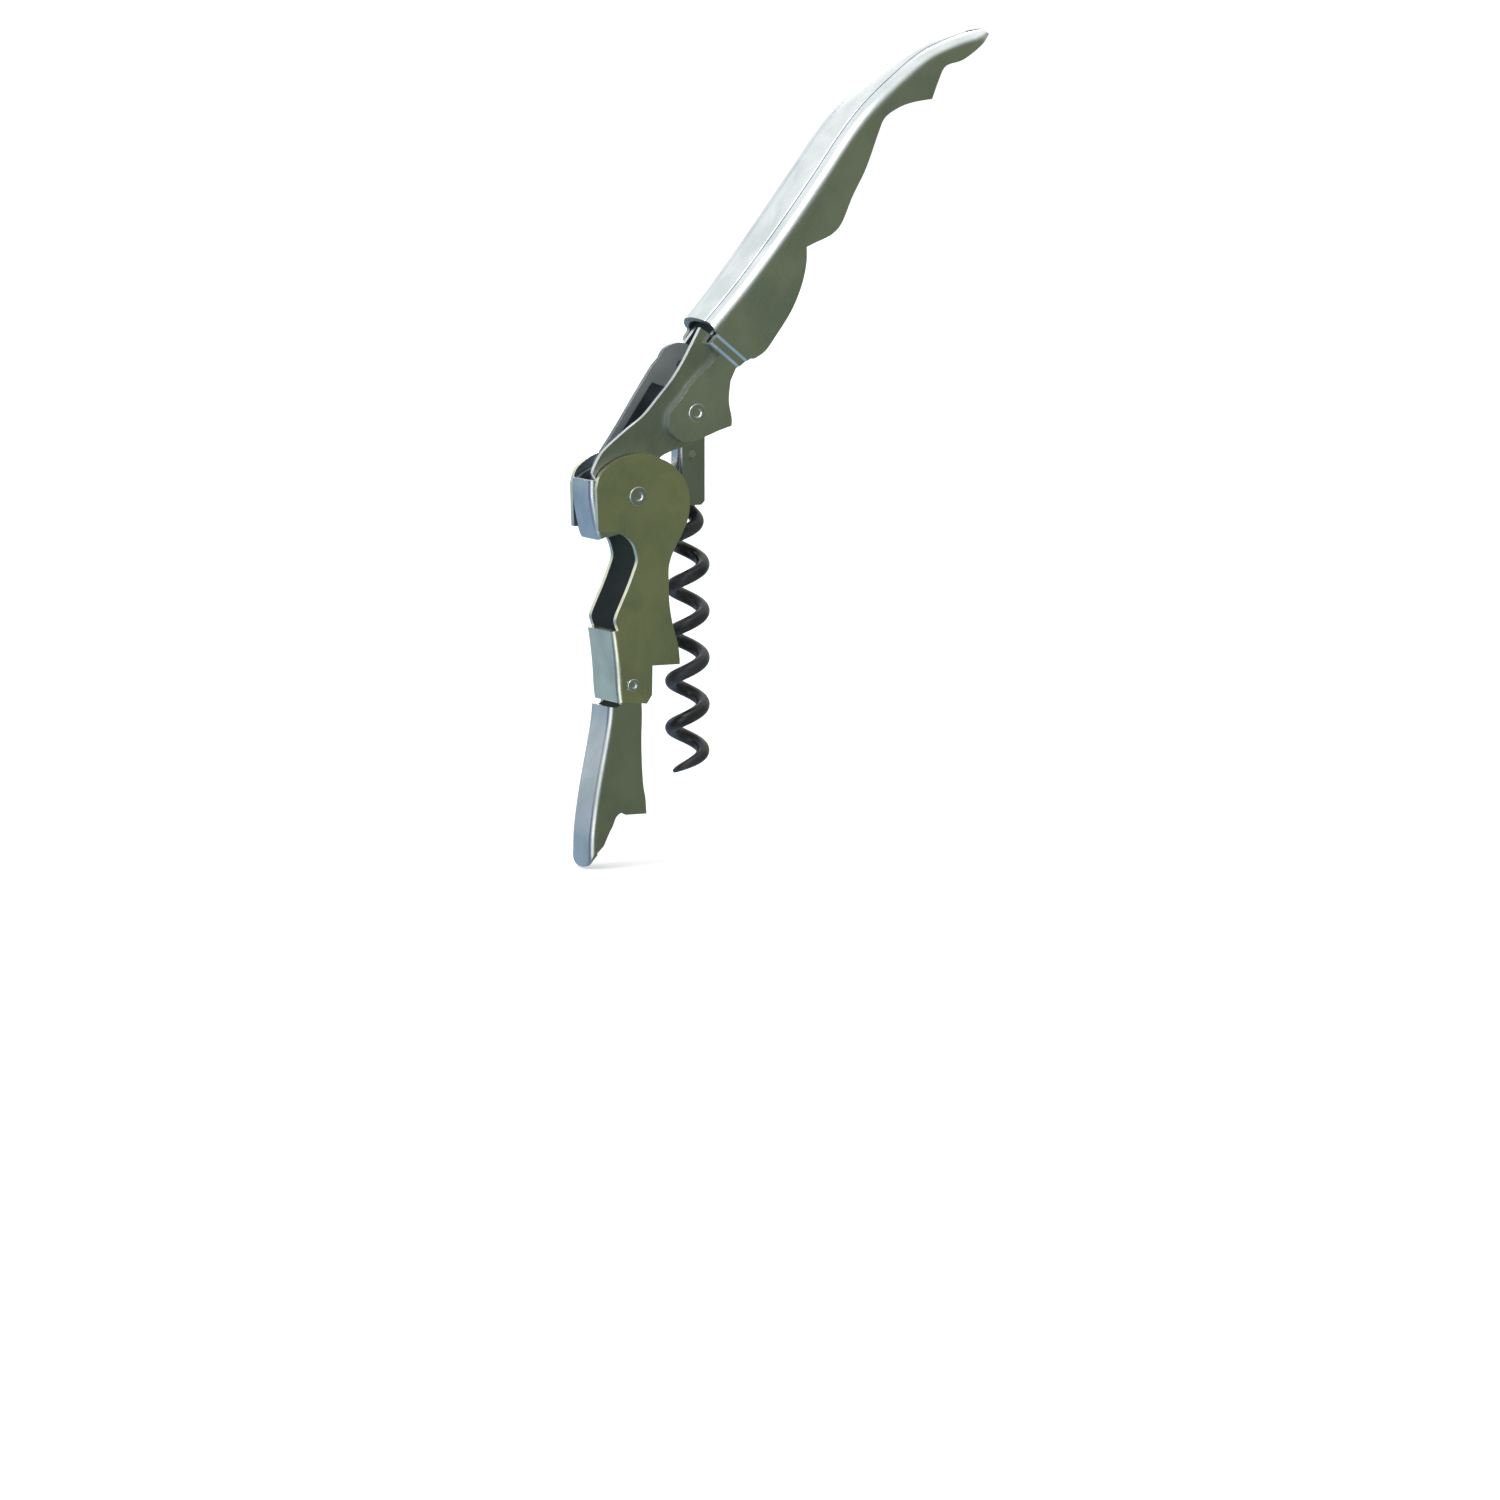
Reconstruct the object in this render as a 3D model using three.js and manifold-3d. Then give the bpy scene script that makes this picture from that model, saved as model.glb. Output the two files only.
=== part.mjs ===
// Lever corkscrew: folded-steel handle, two-step lever, coated worm and foil knife.
// Millimetres, +Z up. The worm hangs down with its tip at the origin; XZ is the plane of symmetry.
import * as THREE from 'three';
import { mergeVertices } from 'three/addons/utils/BufferGeometryUtils.js';
import Module from 'manifold-3d';

const wasm = await Module();
wasm.setup();

// ---- driving dimensions -------------------------------------------------------------------
const HANDLE_ANGLE = THREE.MathUtils.degToRad(50.5); // handle above the horizontal
const PIVOT_SPAN = 19.5; // lever pivot to worm pivot, along the handle
const WORM_LENGTH = 68; // worm pivot down to the tip
const STEP_PIVOT = [-1.05, -35.5]; // step hinge, from the lever pivot

const FRAME_OUT = 4.3; // half widths across the sheet-metal channels
const FRAME_IN = 3.3;
const LEVER_OUT = 5.7;
const LEVER_IN = 4.6;
const LINK_OUT = 4.3;
const LINK_IN = 3.3;
const TAB_IN = 4.34;
const TAB_OUT = 5.54;
const SHELL_SHEET = 1.2;
const CARRIER_OUT = 2.2;
const CARRIER_IN = 1.4;

const WIRE = 1.3; // worm wire radius
const COIL = 2.9; // helix radius at the wire's centre
const COIL_TOP = -19.5; // height where the helix starts, from the worm pivot
const COIL_TURNS = 5.5;
const WORM_AXIS = 0.75; // worm axis in front of its pivot

const LEVER_PIN = 1.3; // rivet shank radii
const WORM_PIN = 1.3;
const STEP_PIN = 0.9;
const FIT = 0.06; // running clearance on a radius
const KNIFE_PIVOT = [26.3, 4.6]; // in the handle's own frame
const KNIFE_Y = [2.32, 3.22];

// half width of the shell along the handle
const SHELL_WIDTH = [[30, 6.74], [37, 6.8], [46, 7.2], [62, 7.5], [76, 7.3], [86, 6.8], [94, 6.0],
  [101, 4.9], [106.5, 3.8], [110.5, 2.6], [113, 1.3]];
// height of the fold line above the handle's axis
const SPINE = [[30, 8.7], [33.2, 8.6], [42.5, 8.1], [55.4, 8.0], [69, 8.3], [79.4, 8.6], [86, 8.1],
  [93.8, 6.4], [101.2, 4.0], [106.6, 0.8], [110.6, -2.2], [113, -4.4]];
const CREASE = 2.4; // outer bend radius of the fold
const CROWN = 0.7; // how much the spine stands above the fold lines

// ---- shared shape helpers -----------------------------------------------------------------
/** A closed three.js geometry as a solid that can be cut and joined. */
function solid(geometry) {
  const g = geometry.clone();
  g.deleteAttribute('normal');
  g.deleteAttribute('uv');
  const m = mergeVertices(g, 1e-5);
  const made = new wasm.Manifold(new wasm.Mesh({
    numProp: 3,
    vertProperties: new Float32Array(m.attributes.position.array),
    triVerts: new Uint32Array(m.index.array),
  }));
  return made;
}

/** A solid as a three.js geometry. */
function geometryOf(body) {
  const m = body.getMesh();
  const g = new THREE.BufferGeometry();
  g.setAttribute('position', new THREE.BufferAttribute(new Float32Array(m.vertProperties), 3));
  g.setIndex(new THREE.BufferAttribute(new Uint32Array(m.triVerts), 1));
  g.computeVertexNormals();
  return g;
}

/** A shape in X and Z from runs of points: a run marked 's' is smooth, the others are straight. */
function outline(...runs) {
  const shape = new THREE.Shape();
  let first = true;
  for (const run of runs) {
    const smooth = run[0] === 's';
    const points = (smooth ? run.slice(1) : run).map(([x, z]) => new THREE.Vector2(x, z));
    if (first) {
      const start = points.shift();
      shape.moveTo(start.x, start.y);
      first = false;
    }
    if (smooth) shape.splineThru(points);
    else for (const p of points) shape.lineTo(p.x, p.y);
  }
  shape.closePath();
  return shape;
}

/** A plate: a shape in X and Z, from y0 to y1. */
function plate(shape, y0, y1, fineness = 2) {
  const g = new THREE.ExtrudeGeometry(shape, {
    depth: y1 - y0, bevelEnabled: false, curveSegments: fineness });
  g.rotateX(Math.PI / 2);
  g.translate(0, y1, 0);
  return g;
}

/** A round bar along Y at x, z. */
function bar(r, x, z, y0, y1, sides = 24) {
  const g = new THREE.CylinderGeometry(r, r, y1 - y0, sides);
  g.translate(x, (y0 + y1) / 2, z);
  return solid(g);
}

/** A turned piece about Y at x, z, from [radius, y] pairs that start and end on the axis. */
function turned(profile, x = 0, z = 0, sides = 24) {
  const g = new THREE.LatheGeometry(profile.map(([r, y]) => new THREE.Vector2(r, y)), sides);
  g.translate(x, 0, z);
  return solid(g);
}

/** Smooth lookup in a table of [x, value]: a cubic between rows, its slopes from their neighbours. */
function along(table, x) {
  const last = table.length - 1;
  const at = THREE.MathUtils.clamp(x, table[0][0], table[last][0]);
  let i = 0;
  while (i < last - 1 && at > table[i + 1][0]) i += 1;
  const slope = (k) => {
    const [a, b] = [table[Math.max(k - 1, 0)], table[Math.min(k + 1, last)]];
    return (b[1] - a[1]) / (b[0] - a[0]);
  };
  const [[x0, v0], [x1, v1]] = [table[i], table[i + 1]];
  const h = x1 - x0;
  const t = (at - x0) / h;
  return (2 * t ** 3 - 3 * t ** 2 + 1) * v0 + (t ** 3 - 2 * t ** 2 + t) * h * slope(i)
    + (3 * t ** 2 - 2 * t ** 3) * v1 + (t ** 3 - t ** 2) * h * slope(i + 1);
}

/** The folded section swept along the handle from x0 to x1, thinner by the sheet given. */
function sweep(x0, x1, thinner, steps) {
  const r = CREASE - thinner;
  const w = 10 - thinner;
  const section = new THREE.Shape();
  section.moveTo(-w, -30);
  section.lineTo(w, -30);
  section.lineTo(w, -CREASE);
  section.absarc(w - r, -CREASE, r, 0, Math.PI / 2, false);
  section.lineTo(0, -thinner + CROWN);
  section.lineTo(-(w - r), -CREASE + r);
  section.absarc(-(w - r), -CREASE, r, Math.PI / 2, Math.PI, false);
  section.closePath();
  const g = new THREE.ExtrudeGeometry(section, {
    depth: x1 - x0, steps, bevelEnabled: false, curveSegments: 4 });
  const p = g.attributes.position;
  for (let i = 0; i < p.count; i += 1) {
    const [y, z, x] = [p.getX(i), p.getY(i), x0 + p.getZ(i)];
    const half = along(SHELL_WIDTH, x);
    // the crease keeps its radius: only the flat between the creases is stretched
    const flat = Math.max(half - CREASE, 0.05) / (10 - CREASE);
    const over = Math.max(Math.abs(y) - (10 - CREASE), 0);
    const narrow = Math.min(1, (half - 0.05) / CREASE);
    const across = Math.min(Math.abs(y), 10 - CREASE) * flat + over * narrow;
    p.setXYZ(i, x, Math.sign(y) * across, along(SPINE, x) + z);
  }
  return solid(g);
}

const steel = (name, color, roughness) => new THREE.MeshStandardMaterial({
  name, color, roughness, metalness: 1 });
const BRIGHT = steel('bright', 0xc9ccd0, 0.24);
const SATIN = steel('satin', 0xa9acae, 0.34);
const RIVET = steel('rivet', 0xb5b8ba, 0.28);
const COATED = new THREE.MeshStandardMaterial({ name: 'coated', color: 0x141415, roughness: 0.38,
  metalness: 0.0 });

/** A named mesh with its own copy of a material. */
function piece(name, body, material) {
  const mesh = new THREE.Mesh(body.isBufferGeometry ? body : geometryOf(body), material.clone());
  mesh.name = name;
  return mesh;
}

// ---- handle (its own frame: x along the handle, z towards the spine, lever pivot at 0) ------
/** The collar's step from the tab's plane out to the cheek's, on the side s, standing along z. */
function joggle(s) {
  const plan = new THREE.Shape([[30.8, TAB_IN], [31.3, TAB_IN], [33.9, 5.56], [35.5, 5.6],
    [35.5, 6.7], [33.6, 6.72], [31.0, TAB_OUT], [30.8, TAB_OUT]]
    .map(([x, y]) => new THREE.Vector2(x, s * y)));
  const g = new THREE.ExtrudeGeometry(plan, { depth: 16, bevelEnabled: false });
  g.translate(0, 0, -6);
  return solid(g);
}

/** The stamped handle: crowned spine, finger-grip cheeks, joggled collar and two tabs. */
function handleShell() {
  const side = outline([[33.0, 12], [33.0, 5], [34.3, -2.6]], ['s', [36.8, -3.5], [40.2, -3.4],
    [45.8, -2.9], [50.6, -1.6], [54.5, 0.3], [57, 2.3]], ['s', [59, 1.2], [62, -0.4], [65, -0.7],
    [70, 0.6], [76.1, 1.7], [82.8, 3.7], [86, 4.3], [89.5, 2.9], [92.2, 0.9], [94.9, -1.8]],
  ['s', [98.8, -0.9], [101.8, -0.7], [105, -3.1], [109.6, -5.0], [112.4, -5.6]], [[112.6, 12]]);
  let shell = sweep(33.4, 113, 0, 24).intersect(solid(plate(side, -9, 9, 3)))
    .subtract(sweep(31, 104.5, SHELL_SHEET, 22));
  // collar joggle and tab, one to each side
  const tab = outline([[34.6, 3.2], [31.1, 3.1]], ['s', [27.6, 3.5], [23.5, 4.25], [19.8, 4.2],
    [16.4, 4.4], [14.6, 3.5], [13.35, 1.9], [13.35, -1.1]],
  [[14.8, -2.95], [16.8, -4.3], [19.8, -6.1], [22.0, -7.6]],
  ['s', [23.2, -6.4], [25.3, -3.9], [28.4, -1.8], [30.8, -1.2], [34.6, -1.2]]);
  const collar = outline([[30.9, 6.2], [30.9, -1.2], [33.8, -1.9], [35.6, -2.7], [35.6, 6.2]]);
  for (const s of [-1, 1]) {
    const y0 = s < 0 ? -TAB_OUT : TAB_IN;
    shell = shell.add(solid(plate(tab, y0, y0 + TAB_OUT - TAB_IN)));
    shell = shell.add(joggle(s).intersect(solid(plate(collar, -8, 8))));
    shell = shell.subtract(bar(WORM_PIN + FIT, PIVOT_SPAN, 0, s < 0 ? -8 : 3, s < 0 ? -3 : 8));
  }
  return shell;
}

/** The inner frame: two cheeks, bridged over the lever end only, and open on top and below. */
function innerFrame() {
  const side = outline([[36.4, 6.4], [32.9, 6.4], [32.6, 9.1]],
    ['s', [29.1, 8.4], [25.4, 7.8], [21.5, 7.5], [17.1, 7.7], [12.7, 8.0], [9.1, 9.0], [5.5, 9.9],
      [2.2, 10.5], [-0.8, 10.1], [-3.4, 9.1], [-5.9, 7], [-8.5, 4], [-10.5, 1.6], [-10.9, 0.4]],
    [[-9.4, -0.6]], ['s', [-6.6, -2.6], [-3.6, -4.0], [0, -4.6], [3.4, -3.9], [5.2, -2.4]],
    ['s', [7, -0.3], [8.6, 0.3], [10.5, -0.5], [12.6, -1.9], [14.2, -3.2], [16.2, -4.3]],
    [[18.5, -5.2], [21.5, -5.4], [25.5, -3.3], [28.5, -1.6], [36.4, -1.6]]);
  const web = outline([[40, 14], [-3.2, 14]], ['s', [-3.0, 8.0], [-5.1, 6.2], [-7.6, 3.4], [-9.6, 1.1]],
    [[-11.2, -1.6], [-11.2, -9], [40, -9]]);
  // the far cheek is cut lower along its top, so the knife's back stands clear of it
  const lower = outline([[-4.4, 14], [-4.4, 7.6], [-2.0, 7.9], [0.8, 6.9], [3.5, 6.6], [40, 6.6], [40, 14]]);
  let frame = solid(plate(side, -FRAME_OUT, FRAME_OUT))
    .subtract(solid(plate(web, -FRAME_IN, FRAME_IN)))
    .subtract(solid(plate(lower, FRAME_IN, 9)));
  frame = frame.subtract(bar(LEVER_PIN + FIT, 0, 0, -9, 9));
  frame = frame.subtract(bar(WORM_PIN + FIT, PIVOT_SPAN, 0, -9, 9));
  return frame.subtract(knifeRivetBody(FIT));
}

/** The short rivet that holds the knife to the far cheek, grown by a clearance for its hole. */
function knifeRivetBody(grow = 0) {
  const [x, z] = KNIFE_PIVOT;
  const end = grow ? 0.3 : 0;
  return turned([[0, 2.36 - end], [1.55 + grow, 2.36 - end], [1.55 + grow, 2.5], [1.1 + grow, 2.85],
    [1.1 + grow, 3.85], [1.5 + grow, 4.2], [1.5 + grow, 4.26 + end], [0, 4.26 + end]], x, z, 24);
}

/** The foil knife: round tang, straight back, cutting edge below, blunt point. */
function knifeBlade() {
  const [kx, kz] = KNIFE_PIVOT;
  const shape = new THREE.Shape();
  shape.moveTo(kx - 2.4, kz + 4.75);
  shape.splineThru([[18.5, 9.15], [14.3, 8.75], [10.1, 8.3], [6.2, 8.0], [3.2, 7.8], [0.8, 7.4],
    [-1.2, 6.5], [-2.3, 5.3]].map(([x, z]) => new THREE.Vector2(x, z)));
  shape.lineTo(-1.9, 4.4);
  shape.lineTo(0.4, 3.8);
  shape.lineTo(21.4, 3.8);
  shape.splineThru([[22.6, 2.2], [24.4, 0.9], [26.8, 0.6]].map(([x, z]) => new THREE.Vector2(x, z)));
  shape.absarc(kx, kz, 4.0, -Math.PI / 2 + 0.15, Math.PI / 2 + 0.5, false);
  return solid(plate(shape, KNIFE_Y[0], KNIFE_Y[1], 3)).subtract(knifeRivetBody(FIT));
}

/** A two-part rivet through the origin along Y: [tube with the near head, core with the far head]. */
function rivet(pin, head, half, x, z) {
  const near = -half;
  const dome = 0.28;
  const bore = pin * 0.62;
  const tube = turned([[0, near - 0.04 - dome * 0.55], [bore * 0.75, near - 0.04 - dome * 0.6],
    [bore * 1.05, near - 0.04 - dome], [head * 0.86, near - 0.04 - dome * 0.9],
    [head, near - 0.04 - dome * 0.35], [head, near - 0.04], [pin, near - 0.04], [pin, half - 0.1],
    [bore, half - 0.1], [bore, near + 1.6], [0, near + 1.6]], x, z);
  const core = turned([[0, near + 2.0], [bore - 0.04, near + 2.0], [bore - 0.04, half + 0.04],
    [head, half + 0.04], [head, half + 0.04 + dome * 0.35], [head * 0.86, half + 0.04 + dome * 0.9],
    [0, half + 0.04 + dome]], x, z);
  return [tube, core];
}

/** A flat ring about Y from y0 to y1. */
function ring(outerR, innerR, x, z, y0, y1) {
  return bar(outerR, x, z, y0, y1, 24).subtract(bar(innerR, x, z, y0 - 1, y1 + 1, 24));
}

// ---- lever (frame of the lever pivot, axes upright) -----------------------------------------
/** The lever arm: big round head, waist open as a cap lifter, web and first step below. */
function leverArm() {
  const cheek = outline(['s', [-8.6, 1.9], [-7.7, 4.6], [-4.9, 6.7], [-2.5, 7.6], [-0.2, 8.0],
    [2.2, 7.8], [4.6, 6.9], [6.8, 5.8], [8.6, 4.2], [9.9, 2.4], [10.6, 0.3], [10.8, -1.6],
    [10.7, -3.5], [10.2, -5.4], [9.4, -7.1], [8.6, -8.6], [7.7, -10.1], [6.9, -11.8], [6.4, -13.8],
    [6.4, -16.5], [6.5, -20], [7.0, -23.4], [7.7, -26.1], [8.4, -28.6], [8.7, -31.2]],
  [[8.7, -32.0], [3.0, -32.0], [2.9, -37.5], [1.8, -39.1], [-3.9, -38.75]],
  ['s', [-4.2, -36.3], [-4.4, -33], [-4.7, -30], [-5.1, -27], [-5.4, -25.3]],
  ['s', [-4.6, -22.8], [-3.1, -19.5], [-2.0, -17.2], [-0.8, -14.3], [-0.1, -12.2], [-0.4, -10.4],
    [-1.1, -8.8], [-2.5, -7.5], [-4.4, -6.7], [-6.2, -6.35], [-8.3, -6.2]]);
  const inside = outline([[14, 12], [-14, 12], [-14, -25.4], [-4.0, -25.4]],
    [[-3.9, -27], [-3.5, -30], [-3.2, -33], [-3.0, -36.3], [-2.8, -42], [14, -42]]);
  return solid(plate(cheek, -LEVER_OUT, LEVER_OUT))
    .subtract(solid(plate(inside, -LEVER_IN, LEVER_IN)))
    .subtract(bar(LEVER_PIN + FIT, 0, 0, -9, 9))
    .subtract(bar(STEP_PIN + FIT, ...STEP_PIVOT, -9, 9));
}

/** The step link: hinged between the lever's cheeks, web behind, second step and curled foot. */
function stepLink() {
  const [px, pz] = STEP_PIVOT;
  const cheek = outline([[px - 1.8, pz]], ['s', [px - 1.27, pz + 1.27], [px, pz + 1.8],
    [px + 1.27, pz + 1.27], [px + 1.85, pz]],
  ['s', [1.45, -40], [1.35, -46.9], [1.65, -53.7], [2.2, -57.1]],
  [[2.4, -60.0], [-1.9, -60.0]],
  ['s', [-2.9, -59.6], [-3.95, -60.4], [-4.65, -62], [-5.45, -63.4], [-6.5, -65.6], [-7.6, -66.7]],
  [[-9.2, -66.9]],
  ['s', [-9.1, -63.5], [-8.5, -58.6], [-7.6, -53.4], [-6.2, -46.5], [-5.5, -42.6], [-5.2, -39.6]],
  [[-5.1, -39.2], [-2.85, -39.2]]);
  const inside = outline([[10, -30], [-2.85, -30], [-2.85, -38.9]],
    ['s', [-4.1, -39.6], [-4.5, -42.6], [-5.2, -46.5], [-6.6, -53.4], [-7.5, -58.6], [-8.05, -63.5],
      [-8.2, -68]],
    [[10, -68]]);
  // the web runs on below the cheeks as a tongue with a round end
  const tongue = outline([[-9.2, -66.0], [-9.35, -69.8], [-8.25, -69.8], [-8.1, -66.0]]);
  const round = new THREE.CylinderGeometry(LINK_OUT, LINK_OUT, 12, 32);
  round.rotateZ(Math.PI / 2).scale(1, 1, 0.8).translate(-9, 0, -66.3);
  const foot = solid(plate(tongue, -LINK_OUT, LINK_OUT)).intersect(solid(round));
  return solid(plate(cheek, -LINK_OUT, LINK_OUT))
    .subtract(solid(plate(inside, -LINK_IN, LINK_IN)))
    .add(foot)
    .subtract(bar(STEP_PIN + FIT, px, pz, -9, 9));
}

// ---- worm (frame of the worm pivot, axes upright) --------------------------------------------
/** The folded bracket that hangs from the worm rivet and holds the worm's shank. */
function wormCarrier() {
  const cheek = outline(['s', [-1.9, -1.2], [-2.3, 0.4], [-1.5, 1.95], [0.3, 2.5], [2.0, 1.9],
    [2.9, 0.6], [3.3, -1.4]], [[3.3, -17.0], [2.6, -17.7], [-1.9, -17.7]]);
  const inside = outline([[9, 9], [-9, 9], [-9, -3.4], [-1.1, -3.4], [-1.1, -20], [9, -20]]);
  return solid(plate(cheek, -CARRIER_OUT, CARRIER_OUT))
    .subtract(solid(plate(inside, -CARRIER_IN, CARRIER_IN)))
    .subtract(bar(WORM_PIN + FIT, 0, 0, -5, 5))
    .subtract(bar(0.8, WORM_AXIS, -8, -5, 5, 20));
}

/** The wire's centre line at a depth below the worm pivot: a straight shank, then a helix. */
function wireCentre(depth) {
  const pitch = (WORM_LENGTH + COIL_TOP) / COIL_TURNS;
  const turn = (depth + COIL_TOP) / pitch;
  const grow = THREE.MathUtils.smoothstep(depth, 17.0, 23.0);
  const angle = -2 * Math.PI * turn;
  return new THREE.Vector3(WORM_AXIS + COIL * grow * Math.cos(angle), COIL * grow * Math.sin(angle),
    -depth);
}

/** The worm: a straight round wire with a ground point, bent onto the centre line. */
function worm() {
  const top = 2.2;
  const rings = [];
  for (let d = top; d < 13; d += 2.7) rings.push([WIRE, d]);
  for (let d = 13; d < WORM_LENGTH - 0.2; d += 0.6) {
    const toTip = (WORM_LENGTH - d) / 4.2;
    rings.push([WIRE * Math.min(1, 0.12 + 0.88 * Math.sqrt(Math.max(toTip, 0))), d]);
  }
  const profile = [[0, top], ...rings, [0, WORM_LENGTH]];
  const g = new THREE.LatheGeometry(profile.map(([r, y]) => new THREE.Vector2(r, y)), 9);
  const p = g.attributes.position;
  const up = new THREE.Vector3(0, 1, 0);
  for (let i = 0; i < p.count; i += 1) {
    const depth = p.getY(i);
    const at = wireCentre(depth);
    const ahead = wireCentre(depth + 0.02).sub(wireCentre(depth - 0.02)).normalize();
    const side = new THREE.Vector3().crossVectors(up, ahead).normalize();
    const out = new THREE.Vector3().crossVectors(ahead, side);
    at.addScaledVector(side, -p.getX(i)).addScaledVector(out, p.getZ(i));
    p.setXYZ(i, at.x, at.y, at.z);
  }
  return solid(g).subtract(bar(0.8, WORM_AXIS, -8, -5, 5, 20));
}

// ---- assembly -------------------------------------------------------------------------------
const wormFrame = new THREE.Group();
wormFrame.position.set(COIL - WORM_AXIS, 0, WORM_LENGTH);

const leverFrame = new THREE.Group();
leverFrame.position.set(-PIVOT_SPAN * Math.cos(HANDLE_ANGLE), 0, -PIVOT_SPAN * Math.sin(HANDLE_ANGLE));
wormFrame.add(leverFrame);

const handleFrame = new THREE.Group();
handleFrame.rotation.y = -HANDLE_ANGLE;
leverFrame.add(handleFrame);

const [leverTube, leverCore] = rivet(LEVER_PIN, 1.8, LEVER_OUT, 0, 0);
const [wormTube, wormCore] = rivet(WORM_PIN, 1.75, TAB_OUT, PIVOT_SPAN, 0);
const [stepTube, stepCore] = rivet(STEP_PIN, 1.2, LEVER_OUT, ...STEP_PIVOT);

handleFrame.add(
  piece('handle_shell', handleShell(), BRIGHT),
  piece('inner_frame', innerFrame(), SATIN),
  piece('knife_blade', knifeBlade(), SATIN),
  piece('knife_rivet', knifeRivetBody(), RIVET),
  piece('lever_rivet_tube', leverTube, RIVET),
  piece('lever_rivet_core', leverCore, RIVET),
  piece('worm_rivet_tube', wormTube, RIVET),
  piece('worm_rivet_core', wormCore, RIVET),
);
for (const [side, s] of [['near', -1], ['far', 1]]) {
  const [a, b] = s < 0 ? [-4.55, -4.35] : [4.35, 4.55];
  const [c, d] = s < 0 ? [-3.25, -2.25] : [2.25, 3.25];
  handleFrame.add(
    piece(`lever_washer_${side}`, ring(3.1, LEVER_PIN + FIT, 0, 0, a, b), RIVET),
    piece(`carrier_spacer_${side}`, ring(2.5, WORM_PIN + FIT, PIVOT_SPAN, 0, c, d), RIVET),
  );
  leverFrame.add(piece(`step_washer_${side}`, ring(1.75, STEP_PIN + FIT, ...STEP_PIVOT, a, b), RIVET));
}
leverFrame.add(
  piece('lever_arm', leverArm(), SATIN),
  piece('step_link', stepLink(), SATIN),
  piece('step_rivet_tube', stepTube, RIVET),
  piece('step_rivet_core', stepCore, RIVET),
);
wormFrame.add(
  piece('worm_carrier', wormCarrier(), SATIN),
  piece('worm', worm(), COATED),
  piece('worm_cross_pin', bar(0.75, WORM_AXIS, -8, -2.15, 2.15, 20), RIVET),
);

const corkscrew = new THREE.Group();
corkscrew.add(wormFrame);
export default corkscrew;
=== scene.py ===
# Looks for the lever corkscrew: folded, brushed steel sheet around a black-coated worm.
import math

import bpy
import numpy as np
from mathutils import Matrix, Vector
from mathutils.geometry import delaunay_2d_cdt


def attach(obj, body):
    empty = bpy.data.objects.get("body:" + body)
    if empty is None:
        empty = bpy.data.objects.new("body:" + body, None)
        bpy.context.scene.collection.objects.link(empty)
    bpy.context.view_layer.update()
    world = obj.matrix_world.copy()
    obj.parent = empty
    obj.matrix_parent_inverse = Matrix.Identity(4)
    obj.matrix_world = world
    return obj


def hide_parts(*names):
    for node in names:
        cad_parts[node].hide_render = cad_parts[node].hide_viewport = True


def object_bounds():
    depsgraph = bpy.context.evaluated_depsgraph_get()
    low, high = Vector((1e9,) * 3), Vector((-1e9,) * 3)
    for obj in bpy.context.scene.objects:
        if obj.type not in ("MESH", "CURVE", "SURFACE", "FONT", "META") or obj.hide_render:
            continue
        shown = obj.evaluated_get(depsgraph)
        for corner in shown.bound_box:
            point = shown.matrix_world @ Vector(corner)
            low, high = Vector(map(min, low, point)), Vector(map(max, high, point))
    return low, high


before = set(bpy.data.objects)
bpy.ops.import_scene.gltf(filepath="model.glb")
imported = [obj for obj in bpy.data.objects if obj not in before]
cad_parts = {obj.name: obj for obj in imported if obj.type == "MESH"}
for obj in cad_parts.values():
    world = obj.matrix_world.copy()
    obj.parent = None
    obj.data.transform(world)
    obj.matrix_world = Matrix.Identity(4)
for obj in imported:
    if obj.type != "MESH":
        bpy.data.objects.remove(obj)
cad_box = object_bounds()

# ---- driving dimensions, in millimetres ----------------------------------------------------
MM = 0.001
HANDLE_ANGLE = math.radians(50.5)  # handle above the horizontal
PIVOT_SPAN = 19.5  # lever pivot to worm pivot, along the handle
WORM_PIVOT = np.array([2.15, 0.0, 68.0])
LEVER_PIVOT = WORM_PIVOT - PIVOT_SPAN * np.array([math.cos(HANDLE_ANGLE), 0, math.sin(HANDLE_ANGLE)])
STEP_PIVOT = (-1.05, -35.5)  # step hinge, from the lever pivot
WORM_LENGTH = 68.0

TAB_OUT = 5.54  # half widths across the channels
COLLAR_OUT = 6.72
FRAME_OUT = 4.3
LEVER_OUT = 5.7
LINK_OUT = 4.3
CARRIER_OUT = 2.2
SHELL_SHEET = 1.2  # sheet thicknesses
FRAME_SHEET = 1.0
LEVER_SHEET = 1.1
LINK_SHEET = 1.0
CARRIER_SHEET = 0.8

LEVER_PIN = 1.3  # rivet shank radii
WORM_PIN = 1.3
STEP_PIN = 0.9
CROSS_PIN = 0.75
FIT = 0.06  # running clearance on a radius

WIRE = 1.3  # worm wire radius
COIL = 2.9  # helix radius at the wire's centre
COIL_START = 19.5  # depth below the worm pivot
COIL_TURNS = 5.5
COIL_EASE = (17.0, 6.0)  # depth where the helix starts to open out, and over how much depth
WORM_AXIS = 0.75  # worm axis from its pivot, along X

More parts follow.
